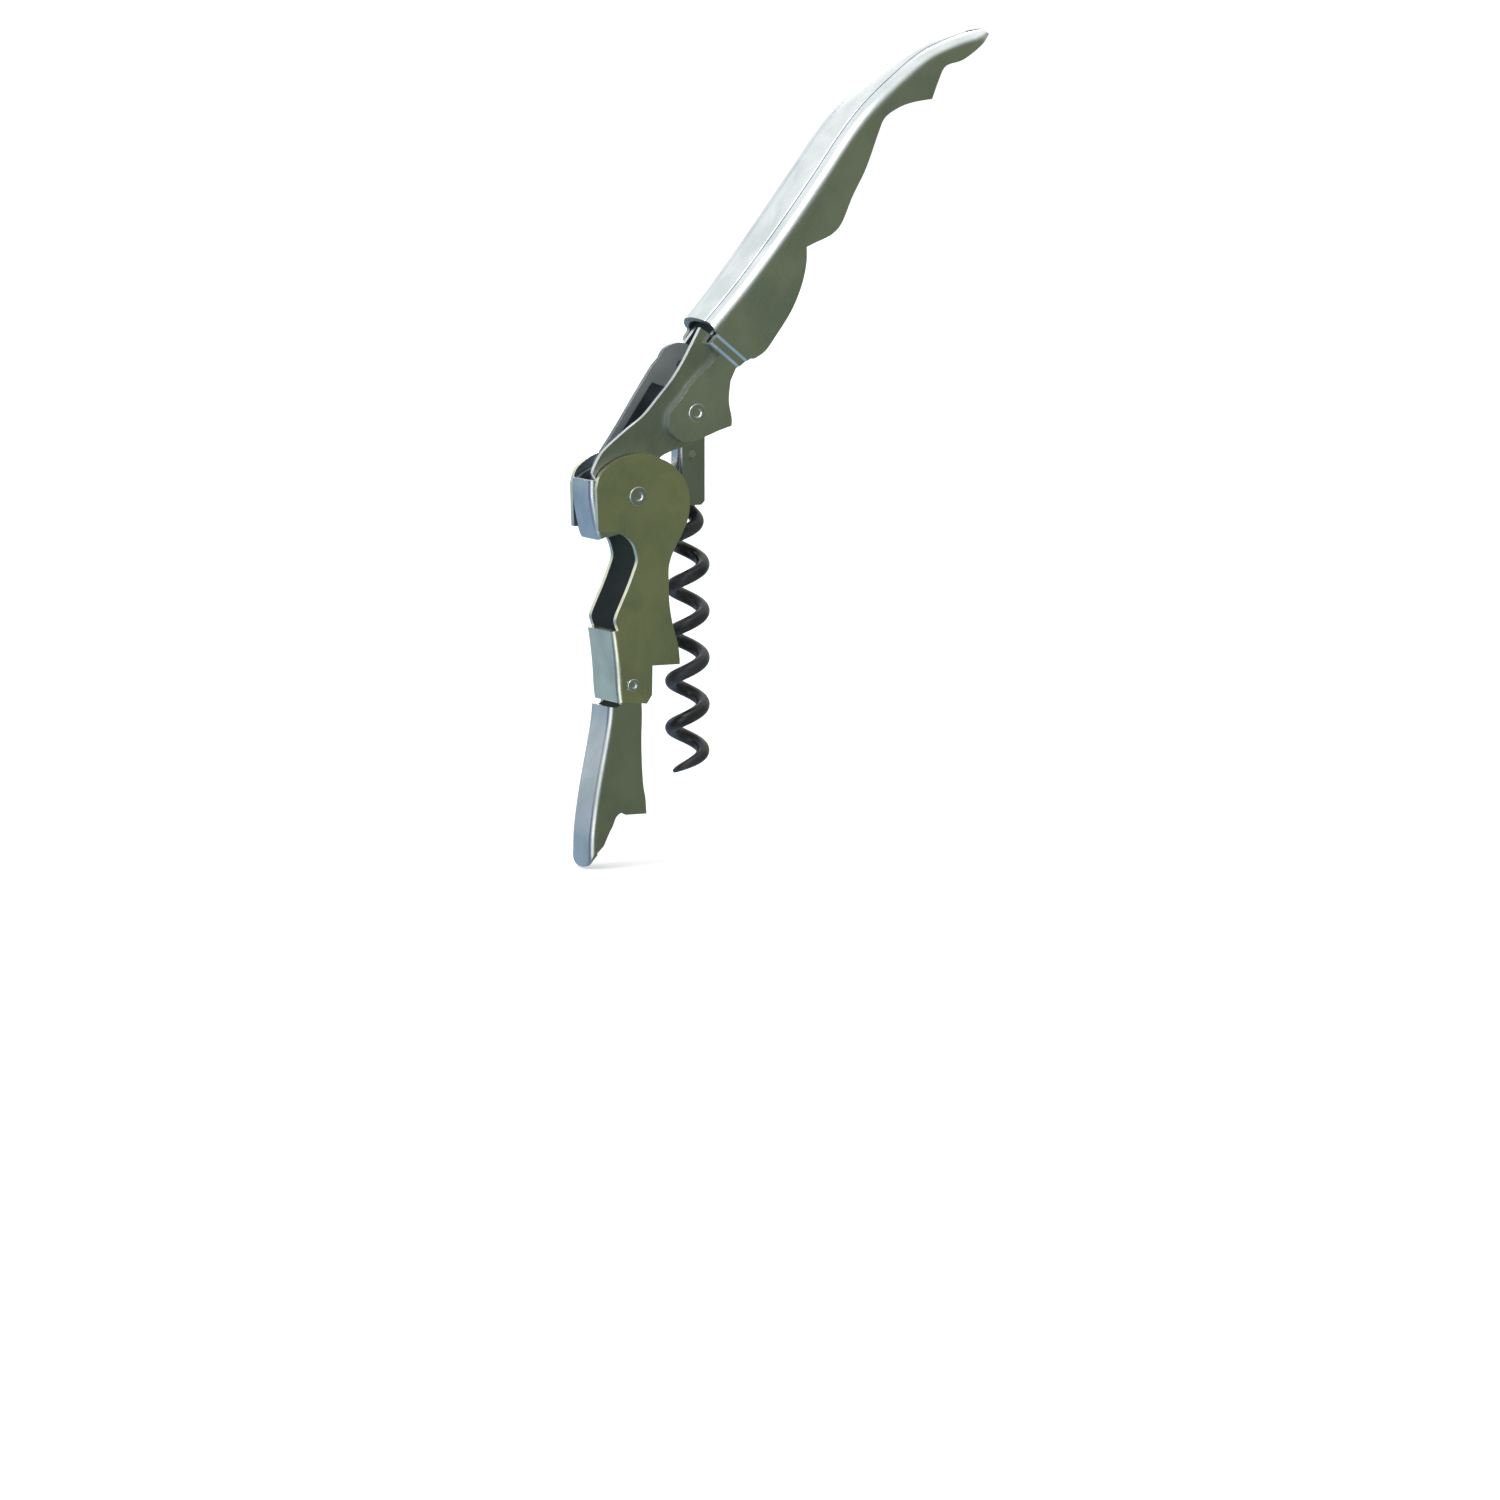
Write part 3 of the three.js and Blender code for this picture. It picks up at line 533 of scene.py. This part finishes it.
def shell_skin():
    """The handle's sheet, as a grid of stations along the handle by points of its section. The
    section goes up the near cheek, round the near crease (a quarter ellipse), over the spine (a
    parabola as high as the crown, with a pressed line, a bell curve, beside each crease) and down.
    The half width follows its table, and eases from the tab's plane to the cheek's in two small
    steps over the collar. The underside follows the grip. The spine's front edge is drawn back as
    the square of its height above the crease, fading away along the handle."""
    x = np.concatenate([np.arange(30.9, COLLAR_END - 0.05, 0.1), [COLLAR_END], np.arange(33.8, 35, 0.4),
                        np.arange(35.4, 57, 0.9), [57.0], np.arange(57.6, 94.9, 0.8), [94.9],
                        np.arange(95.6, 108, 0.8), np.arange(108.4, TAIL, 0.35), [TAIL]])
    ease = sum(smooth_step((x - start) / STEP_RUN) for start in COLLAR_STEPS) / 2
    width = np.where(x < 33.8, TAB_OUT + (COLLAR_OUT - TAB_OUT) * ease, along(SHELL_WIDTH, x))
    spine = along(SPINE, np.maximum(x, COLLAR_END))
    bottom = np.interp(x, UNDERSIDE[:, 0], UNDERSIDE[:, 1])
    high = np.maximum(spine - bottom, 0.3)
    bend_y = CREASE * np.minimum(1, (width - 0.05) / CREASE)
    bend_z = np.minimum(CREASE, 0.75 * high)
    crown = CROWN * np.clip((TAIL + 3 - x) / 12, 0.2, 1)

    def section(w, by, bz, top, lift, under):
        """One face of the sheet, as an array of stations by section points by (y, z)."""
        cheek = np.linspace(0, 1, CHEEK_POINTS)[None]
        cheek_y = np.repeat(-w[:, None], CHEEK_POINTS, 1)
        cheek_z = under[:, None] + (top - bz - under)[:, None] * cheek
        q = np.linspace(0, math.pi / 2, 9)[None, 1:]
        arc_y = -(w - by)[:, None] - by[:, None] * np.cos(q)
        arc_z = (top - bz)[:, None] + bz[:, None] * np.sin(q)
        u = np.concatenate([np.linspace(-1, -0.55, 22), np.linspace(-0.5, 0, 6)])[None, 1:]
        flat_y = (w - by)[:, None] * u
        bell = np.exp(-(((u + GROOVE_AT) / GROOVE_WIDTH) ** 2))
        groove = GROOVE * bell * np.clip((w - 3) / 2, 0, 1)[:, None]
        flat_z = top[:, None] + lift[:, None] * (1 - u**2) - groove
        half_y = np.hstack([cheek_y, arc_y, flat_y])
        half_z = np.hstack([cheek_z, arc_z, flat_z])
        whole_y = np.hstack([half_y, -half_y[:, -2::-1]])
        whole_z = np.hstack([half_z, half_z[:, -2::-1]])
        return np.stack([whole_y, whole_z], 2)

    thin = SHELL_SHEET
    outside = section(width, bend_y, bend_z, spine, crown, bottom)
    inside_w = np.maximum(width - thin, 0.05)
    inside = section(inside_w, np.clip(bend_y - thin, 0.02, inside_w), np.maximum(bend_z - thin, 0.02),
                     np.maximum(spine - thin, bottom + 0.05), crown, bottom)
    j = outside.shape[1]
    lean = FRONT_LEAN * np.clip((outside[..., 1] - (spine - CREASE)[:, None]) / CREASE, 0, 1) ** 2
    slide = lean * np.exp(-np.clip(x - COLLAR_END, 0, None) / FRONT_FADE)[:, None]
    px = x[:, None] + np.where(x[:, None] >= COLLAR_END, slide, 0)
    outer = np.stack([px, outside[..., 0], outside[..., 1]], 2)
    inner = np.stack([px, inside[..., 0], inside[..., 1]], 2)
    at = np.arange(len(x) * j).reshape(len(x), j)
    quads = np.stack([at[:-1, :-1], at[1:, :-1], at[1:, 1:], at[:-1, 1:]], 2)
    keep = np.ones(quads.shape[:2], bool)
    collar = x[:-1] < COLLAR_END - 1e-6
    keep[np.ix_(collar, np.arange(CHEEK_POINTS - 1, j - CHEEK_POINTS))] = False
    faces = [tuple(int(i) for i in q) for q in quads[keep]]
    outer, inner = outer.reshape(-1, 3), inner.reshape(-1, 3)
    hole = circle(PIVOT_SPAN, 0, WORM_PIN + FIT)
    for side, column in ((-1, at[0, :TAB_ROWS]), (1, at[0, ::-1][:TAB_ROWS])):
        edge = outer[column][:, [0, 2]]
        polygon = np.vstack([edge, TAB_EDGE])
        extra = np.vstack([TAB_EDGE, hole])
        index = np.concatenate([column, len(outer) + np.arange(len(extra))])
        outer = np.vstack([outer, at_y(extra, side * TAB_OUT)])
        inner = np.vstack([inner, at_y(extra, side * (TAB_OUT - thin))])
        for f in cheek_faces(polygon, [hole]):
            f = f if side < 0 else f[::-1]
            faces.append(tuple(int(index[i]) for i in f))
    section_place = np.arange(j)
    in_groove = np.isin(section_place, GROOVE_COLUMNS) | np.isin(j - 2 - section_place, GROOVE_COLUMNS)
    groove_face = np.broadcast_to(in_groove[None, :-1], quads.shape[:2])[keep]
    used = sorted({i for f in faces for i in f})
    renumber = {old: new for new, old in enumerate(used)}
    faces = [tuple(renumber[i] for i in f) for f in faces]
    points, faces, kinds = with_rim(outer[used], inner[used], faces)
    # Faces in the pressed lines get finish 4, the painted shade in the groove.
    kinds[:len(groove_face)] = np.where(groove_face, 4, 0).tolist()
    return points, faces, kinds


FRAME_UNDER = runs([[-9.3, -0.6]],
                   ["s", [-6.6, -2.6], [-3.6, -4.0], [0, -4.6], [3.4, -3.9], [5.2, -2.4]],
                   ["s", [7, -0.3], [8.6, 0.3], [10.5, -0.5], [12.6, -1.9], [14.2, -3.2], [16.2, -4.3]],
                   [[18.5, -5.2], [21.5, -5.4], [25.5, -3.3], [28.5, -1.6], [36.3, -1.6], [36.3, 6.3]])
FRAME_TOP_NEAR = runs([[32.9, 6.3], [32.6, 9.0]],
                      ["s", [29.1, 8.4], [25.4, 7.8], [21.5, 7.5], [17.1, 7.7], [12.7, 8.0], [9.1, 9.0],
                       [5.5, 9.9], [2.2, 10.5], [-0.8, 10.1], [-2.0, 9.7]])
FRAME_TOP_FAR = runs([[30.6, 6.3], [20.0, 6.5]], ["s", [10.0, 6.55], [3.5, 6.6], [0.8, 6.9], [-1.4, 7.8]])
FRAME_BRIDGE = runs([[-3.4, 9.1]], ["s", [-5.9, 7], [-8.5, 4], [-10.3, 1.7], [-10.9, 0.5]], fine=8)
KNIFE_PIVOT = (26.3, 4.6)
KNIFE_PIN = 1.1
KNIFE_FACES = (2.32, 3.22)  # the plate's near and far sides, in Y


def knife():
    """The foil knife as a flat plate. Its near face stops short of the cutting edge, so the strip
    between the two outlines is the ground bevel, which tapers to the point. The heel is a half
    circle that grows above its pivot. The back runs level with the frame."""
    kx, kz = KNIFE_PIVOT
    angle = np.linspace(-math.pi / 2 + 0.15, math.pi / 2 + 0.35, 26)
    reach = 4.0 + 1.0 * np.clip(angle / (math.pi / 2), 0, 1) ** 1.5
    heel = np.stack([kx + reach * np.cos(angle), kz + reach * np.sin(angle)], 1)
    back = runs([[kx - 3.6, kz + 4.9]], ["s", [18.5, 9.15], [14.3, 8.75], [10.1, 8.3], [6.2, 8.0],
                                         [3.2, 7.8], [0.8, 7.4], [-1.2, 6.5], [-2.3, 5.3]])
    edge_x = np.linspace(-1.9, 21.4, 20)
    edge = np.stack([edge_x, np.interp(edge_x, [-1.9, 0.4, 21.4], [4.4, 3.8, 3.8])], 1)
    belly = runs([[22.0, 3.0], [22.6, 2.2], [24.4, 0.9]])
    grind = np.interp(edge_x, [-1.9, 1.5, 12.0, 20.0, 21.4], [0.4, 2.5, 3.2, 3.9, 3.0])
    ground = np.stack([np.clip(edge_x, -1.6, 20.4), edge[:, 1] + grind], 1)
    hole = circle(kx, kz, KNIFE_PIN + FIT)
    near = np.vstack([back, ground, belly, heel])
    far = np.vstack([back, edge, belly, heel])
    outer = at_y(np.vstack([near, hole]), KNIFE_FACES[0])
    inner = at_y(np.vstack([far, hole]), KNIFE_FACES[1])
    return with_rim(outer, inner, cheek_faces(near, [hole]))


# ---- lever, link and carrier ---------------------------------------------------------------
LEVER_WEB = runs([[-3.9, -38.75]], ["s", [-4.2, -36.3], [-4.4, -33], [-4.7, -30], [-5.1, -27],
                                    [-5.4, -25.3]])
LEVER_REST = runs([[-4.4, -24.3]],
                  ["s", [-4.6, -22.8], [-3.1, -19.5], [-2.0, -17.2], [-0.8, -14.3], [-0.1, -12.2],
                   [-0.4, -10.4], [-1.1, -8.8], [-2.5, -7.5], [-4.4, -6.7], [-6.2, -6.35], [-8.3, -6.2]],
                  [[-8.6, 1.9]],
                  ["s", [-7.7, 4.6], [-4.9, 6.7], [-2.5, 7.6], [-0.2, 8.0], [2.2, 7.8], [4.6, 6.9],
                   [6.8, 5.8], [8.6, 4.2], [9.9, 2.4], [10.6, 0.3], [10.8, -1.6], [10.7, -3.5],
                   [10.2, -5.4], [9.4, -7.1], [8.6, -8.6], [7.7, -10.1], [6.9, -11.8], [6.4, -13.8],
                   [6.4, -16.5], [6.5, -20], [7.0, -23.4], [7.7, -26.1], [8.4, -28.6], [8.7, -31.2]],
                  [[8.7, -32.0], [3.0, -32.0], [2.9, -37.5], [1.8, -39.1]])
LINK_WEB = runs([[-9.2, -66.9]], ["s", [-9.1, -63.5], [-8.5, -58.6], [-7.6, -53.4], [-6.2, -46.5],
                                  [-5.5, -42.6], [-5.2, -39.6]], fine=8)
STEP_X, STEP_Z = STEP_PIVOT
LINK_HEAD = 1.8  # the link's round end about its hinge
HEAD_SLANT = 1.27  # its width and height half-way round
LINK_REST = runs([[-2.85, -39.2], [STEP_X - LINK_HEAD, STEP_Z]],
                 ["s", [STEP_X - HEAD_SLANT, STEP_Z + HEAD_SLANT], [STEP_X, STEP_Z + LINK_HEAD],
                  [STEP_X + HEAD_SLANT, STEP_Z + HEAD_SLANT], [STEP_X + 1.85, STEP_Z]],
                 ["s", [1.45, -40], [1.35, -46.9], [1.65, -53.7], [2.2, -57.1]],
                 [[2.4, -60.0], [-1.9, -60.0]],
                 ["s", [-2.9, -59.6], [-3.95, -60.4], [-4.65, -62], [-5.45, -63.4], [-6.5, -65.6]])
CARRIER_WEB = runs([[-1.9, -17.7], [-1.9, -14.0], [-1.9, -10.0], [-1.9, -6.0], [-1.9, -3.4]])
CARRIER_REST = runs([[-1.6, -2.2], [-1.9, -1.2]], ["s", [-2.3, 0.4], [-1.5, 1.95], [0.3, 2.5], [2.0, 1.9],
                                                   [2.9, 0.6], [3.3, -1.4]],
                    [[3.3, -17.0], [2.6, -17.7]])


def worm_wire():
    """The worm: a straight shank, then a right-handed helix that eases out to its full radius. The
    point is ground: the wire's radius falls as the square root of the way to the tip."""
    pitch = (WORM_LENGTH - COIL_START) / COIL_TURNS
    depth = np.concatenate([np.linspace(2.25, 13, 10)[:-1], np.linspace(13, WORM_LENGTH - 0.12, 420)])
    grow = smooth_step((depth - COIL_EASE[0]) / COIL_EASE[1])
    angle = -2 * math.pi * (depth - COIL_START) / pitch
    centres = np.stack([WORM_AXIS + COIL * grow * np.cos(angle), COIL * grow * np.sin(angle), -depth], 1)
    to_tip = np.maximum((WORM_LENGTH - depth) / 4.2, 0)
    radii = WIRE * np.minimum(1, 0.12 + 0.88 * np.sqrt(to_tip))
    radii[0] *= 0.8
    return tube(centres, radii, 26)


def rivet(pin, head, half, x, z):
    """A two-part rivet, as [tube, core]. The tube has the near head: a rounded ring about a shallow
    dimple. The core goes up its bore and has the far head, a low dome. Both heads stand a small gap
    off the sheet."""
    dome, shoulder, gap = 0.28, 0.1, 0.04
    bore = pin * 0.62
    near, far = -half - gap, half + gap
    sweep = np.linspace(0, math.pi, 9)
    ring_mid, ring_half = (bore + head) / 2, (head - bore) / 2
    lip = [[ring_mid - ring_half * math.cos(a), near - shoulder - (dome - shoulder) * math.sin(a) ** 0.8]
           for a in sweep]
    tube_profile = [[0, near + 0.12], [bore * 0.45, near + 0.1], [bore * 0.8, near + 0.02], *lip,
                    [head, near], [pin, near], [pin, half - 0.1], [bore, half - 0.1],
                    [bore, near + 1.6], [0, near + 1.6]]
    cap = [[head * math.cos(a), far + 0.06 + (dome - 0.06) * math.sin(a)] for a in np.linspace(0, 1.45, 8)]
    core_profile = [[0, -half + 2.0], [bore - 0.04, -half + 2.0], [bore - 0.04, far], [head, far],
                    *cap, [0, far + dome]]
    return turned(tube_profile, x, z), turned(core_profile, x, z)


# ---- assembly ------------------------------------------------------------------------------
EDGE = 0.14  # rounding of sheared edges


def add(name, shape, place, body, materials, nodes, edge=0.0, angle=32):
    """One finished piece: its mesh, placed, riding on its body and standing for its CAD nodes. edge
    is the rounding of its edges, and angle is how sharp an edge has to be to stay hard."""
    points, faces, kinds = shape
    piece = mesh_piece(name, place(points), faces, kinds, materials, edge, angle)
    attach(piece, body)
    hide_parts(*nodes)


def folded(outside):
    """The finishes of a folded channel: outside, worn edges partly painted highlight, painted shade inside,
    and cut edges as outside.
    """
    return [outside, WORN_EDGE_AND_HIGHLIGHT_STEEL, PAINTED_SHADE_STEEL, outside]


add("handle_skin", shell_skin(), in_handle, "handle",
    [HANDLE_STEEL, WORN_EDGE_AND_HIGHLIGHT_STEEL, PAINTED_SHADE_STEEL, CUT_STEEL, GROOVE_PAINTED_SHADE_STEEL], ["handle_shell"], EDGE)
add("frame_channel",
    channel(FRAME_BRIDGE, np.vstack([FRAME_UNDER, FRAME_TOP_NEAR]), np.vstack([FRAME_UNDER, FRAME_TOP_FAR]),
            FRAME_OUT, FRAME_SHEET, 1.25,
            [(0, 0, LEVER_PIN + FIT), (PIVOT_SPAN, 0, WORM_PIN + FIT)]),
    in_handle, "handle", folded(FRAME_STEEL), ["inner_frame"], EDGE)
# The knife's rim, with the ground strip along its edge, gets the painted-shade steel: a dark band painted
# where the blade lies in shade.
add("foil_knife", knife(), in_handle, "knife",
    [BLADE_STEEL, WORN_EDGE_AND_HIGHLIGHT_STEEL, BLADE_STEEL, PAINTED_SHADE_STEEL], ["knife_blade"], EDGE / 2)
add("lever_channel",
    channel(LEVER_WEB, LEVER_REST, LEVER_REST, LEVER_OUT, LEVER_SHEET, 1.3,
            [(0, 0, LEVER_PIN + FIT), (*STEP_PIVOT, STEP_PIN + FIT)]),
    in_lever, "lever", folded(LEVER_STEEL), ["lever_arm"], EDGE)
add("link_channel",
    channel(LINK_WEB, LINK_REST, LINK_REST, LINK_OUT, LINK_SHEET, 1.35,
            [(*STEP_PIVOT, STEP_PIN + FIT)], tongue=2.9),
    in_lever, "link", folded(LINK_STEEL), ["step_link"], EDGE)
add("carrier_channel",
    channel(CARRIER_WEB, CARRIER_REST, CARRIER_REST, CARRIER_OUT, CARRIER_SHEET, 1.0,
            [(0, 0, WORM_PIN + FIT), (WORM_AXIS, -8.0, CROSS_PIN + FIT)]),
    in_worm, "worm", folded(CARRIER_STEEL), ["worm_carrier"], 0.1)
add("worm_wire", worm_wire(), in_worm, "worm", [WORM_COAT], ["worm"], angle=60)

# each rivet's name, shank and head radii, half width across the sheets, centre, axes and body
RIVETS = (("lever", LEVER_PIN, 1.8, LEVER_OUT, (0, 0), in_handle, "handle"),
          ("worm", WORM_PIN, 1.75, TAB_OUT, (PIVOT_SPAN, 0), in_handle, "handle"),
          ("step", STEP_PIN, 1.2, LEVER_OUT, STEP_PIVOT, in_lever, "lever"))
for part, pin, head, half, centre, place, body in RIVETS:
    for half_name, shape in zip(("tube", "core"), rivet(pin, head, half, *centre)):
        add(f"{part}_rivet_{half_name}_turned", shape, place, body, [RIVET_STEEL],
            [f"{part}_rivet_{half_name}"], angle=45)

for name in ("knife_rivet", "lever_washer_near", "lever_washer_far", "carrier_spacer_near",
             "carrier_spacer_far", "step_washer_near", "step_washer_far", "worm_cross_pin"):
    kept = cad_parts[name]
    kept.data.materials.clear()
    kept.data.materials.append(RIVET_STEEL)

# ---- floor, light and camera ---------------------------------------------------------------
FLOOR_Z = cad_box[0].z - 0.0003  # in metres, like all below
FLOOR_HALF = 6.0

floor_mesh = bpy.data.meshes.new("floor")
corners = [(x * FLOOR_HALF, y * FLOOR_HALF, FLOOR_Z) for x, y in ((-1, -1), (1, -1), (1, 1), (-1, 1))]
floor_mesh.from_pydata(corners, [], [(0, 1, 2, 3)])
floor = bpy.data.objects.new("floor", floor_mesh)
bpy.context.scene.collection.objects.link(floor)
floor.visible_glossy = False
paper = bpy.data.materials.new("pale paper")
paper.use_nodes = True
paper_inputs = paper.node_tree.nodes["Principled BSDF"].inputs
paper_inputs["Base Color"].default_value = (0.86, 0.86, 0.85, 1)
paper_inputs["Roughness"].default_value = 0.9
paper_inputs["Emission Color"].default_value = (1.0, 1.0, 0.99, 1)
paper_inputs["Emission Strength"].default_value = 0.3
floor_mesh.materials.append(paper)


# patches of the studio: direction, how near to it the patch starts (a cosine), and colour
STUDIO_PATCHES = (((-0.93, 0.33, -0.08), 0.90, (0.07, 0.10, 0.24)),
                  ((-0.84, -0.52, -0.08), 0.90, (1.5, 1.52, 1.6)),
                  ((0.75, 0.66, 0.25), 0.86, (0.80, 0.88, 0.52)))


def room_light():
    """A soft studio all round: white above, pale blue low down, a dark, slightly green side to the
    front right, and then the patches. What the camera sees directly is plain white."""
    world = bpy.data.worlds.new("studio")
    world.use_nodes = True
    tree = world.node_tree
    link = tree.links.new
    ground = tree.nodes["Background"]
    place = tree.nodes.new("ShaderNodeTexCoord")
    split = tree.nodes.new("ShaderNodeSeparateXYZ")
    link(place.outputs["Generated"], split.inputs[0])
    rise = new_node(tree, "ShaderNodeMapRange", From_Min=-0.15, From_Max=0.32)
    rise.interpolation_type = "SMOOTHSTEP"
    link(split.outputs["Z"], rise.inputs["Value"])
    sky = tree.nodes.new("ShaderNodeMix")
    sky.data_type = "RGBA"
    sky.inputs["A"].default_value = (0.30, 0.42, 0.58, 1)
    sky.inputs["B"].default_value = (0.97, 1.0, 1.03, 1)
    link(rise.outputs[0], sky.inputs["Factor"])
    front = tree.nodes.new("ShaderNodeVectorMath")
    front.operation = "DOT_PRODUCT"
    front.inputs[1].default_value = Vector((0.42, -0.89, -0.12)).normalized()
    link(place.outputs["Generated"], front.inputs[0])
    dark = new_node(tree, "ShaderNodeMapRange", From_Min=0.1, From_Max=0.75)
    dark.interpolation_type = "SMOOTHSTEP"
    link(front.outputs["Value"], dark.inputs["Value"])
    room = tree.nodes.new("ShaderNodeMix")
    room.data_type = "RGBA"
    room.inputs["B"].default_value = (0.135, 0.16, 0.105, 1)
    link(dark.outputs[0], room.inputs["Factor"])
    link(sky.outputs["Result"], room.inputs["A"])
    shown = room.outputs["Result"]
    for direction, near, colour in STUDIO_PATCHES:
        patch = tree.nodes.new("ShaderNodeVectorMath")
        patch.operation = "DOT_PRODUCT"
        patch.inputs[1].default_value = Vector(direction).normalized()
        link(place.outputs["Generated"], patch.inputs[0])
        soft = new_node(tree, "ShaderNodeMapRange", From_Min=near, From_Max=min(near + 0.09, 1.0))
        soft.interpolation_type = "SMOOTHSTEP"
        link(patch.outputs["Value"], soft.inputs["Value"])
        over = tree.nodes.new("ShaderNodeMix")
        over.data_type = "RGBA"
        over.inputs["B"].default_value = (*colour, 1)
        link(soft.outputs[0], over.inputs["Factor"])
        link(shown, over.inputs["A"])
        shown = over.outputs["Result"]
    path = tree.nodes.new("ShaderNodeLightPath")
    seen = tree.nodes.new("ShaderNodeMix")
    seen.data_type = "RGBA"
    seen.inputs["B"].default_value = (1.0, 1.0, 1.0, 1)
    link(path.outputs["Is Camera Ray"], seen.inputs["Factor"])
    link(shown, seen.inputs["A"])
    link(seen.outputs["Result"], ground.inputs["Color"])
    bpy.context.scene.world = world


def soft_lamp(name, place, size, power, target=(0.01, 0, 0.06)):
    """A square soft lamp at a place, facing the object."""
    data = bpy.data.lights.new(name, "AREA")
    data.size = size
    data.energy = power
    lamp = bpy.data.objects.new(name, data)
    lamp.location = place
    lamp.rotation_euler = (Vector(target) - Vector(place)).to_track_quat("-Z", "Y").to_euler()
    bpy.context.scene.collection.objects.link(lamp)


room_light()
soft_lamp("key_lamp", (-0.9, -0.3, 1.2), 0.8, 5.0)
soft_lamp("rim_lamp", (0.5, 1.1, 0.7), 0.6, 4.0)

AZIMUTH, ELEVATION = math.radians(-27), math.radians(7)
DISTANCE = 3.0
VIEW_WIDTH = 0.2804  # metres across the picture at the object
back = Vector((math.sin(AZIMUTH) * math.cos(ELEVATION), -math.cos(AZIMUTH) * math.cos(ELEVATION),
               math.sin(ELEVATION)))
right = Vector((math.cos(AZIMUTH), math.sin(AZIMUTH), 0))
up = back.cross(right)
near_tab = Vector(WORM_PIVOT * MM) + Vector((0, -TAB_OUT * MM, 0))
aim = near_tab + right * 0.0099 - up * 0.063
camera_data = bpy.data.cameras.new("camera")
camera_data.sensor_width = 36.0
camera_data.lens = camera_data.sensor_width * DISTANCE / VIEW_WIDTH
camera = bpy.data.objects.new("camera", camera_data)
facing = Matrix((right, up, back)).transposed().to_4x4()
camera.matrix_world = Matrix.Translation(aim + back * DISTANCE) @ facing
bpy.context.scene.collection.objects.link(camera)
bpy.context.scene.camera = camera
bpy.context.scene.view_settings.view_transform = "Standard"
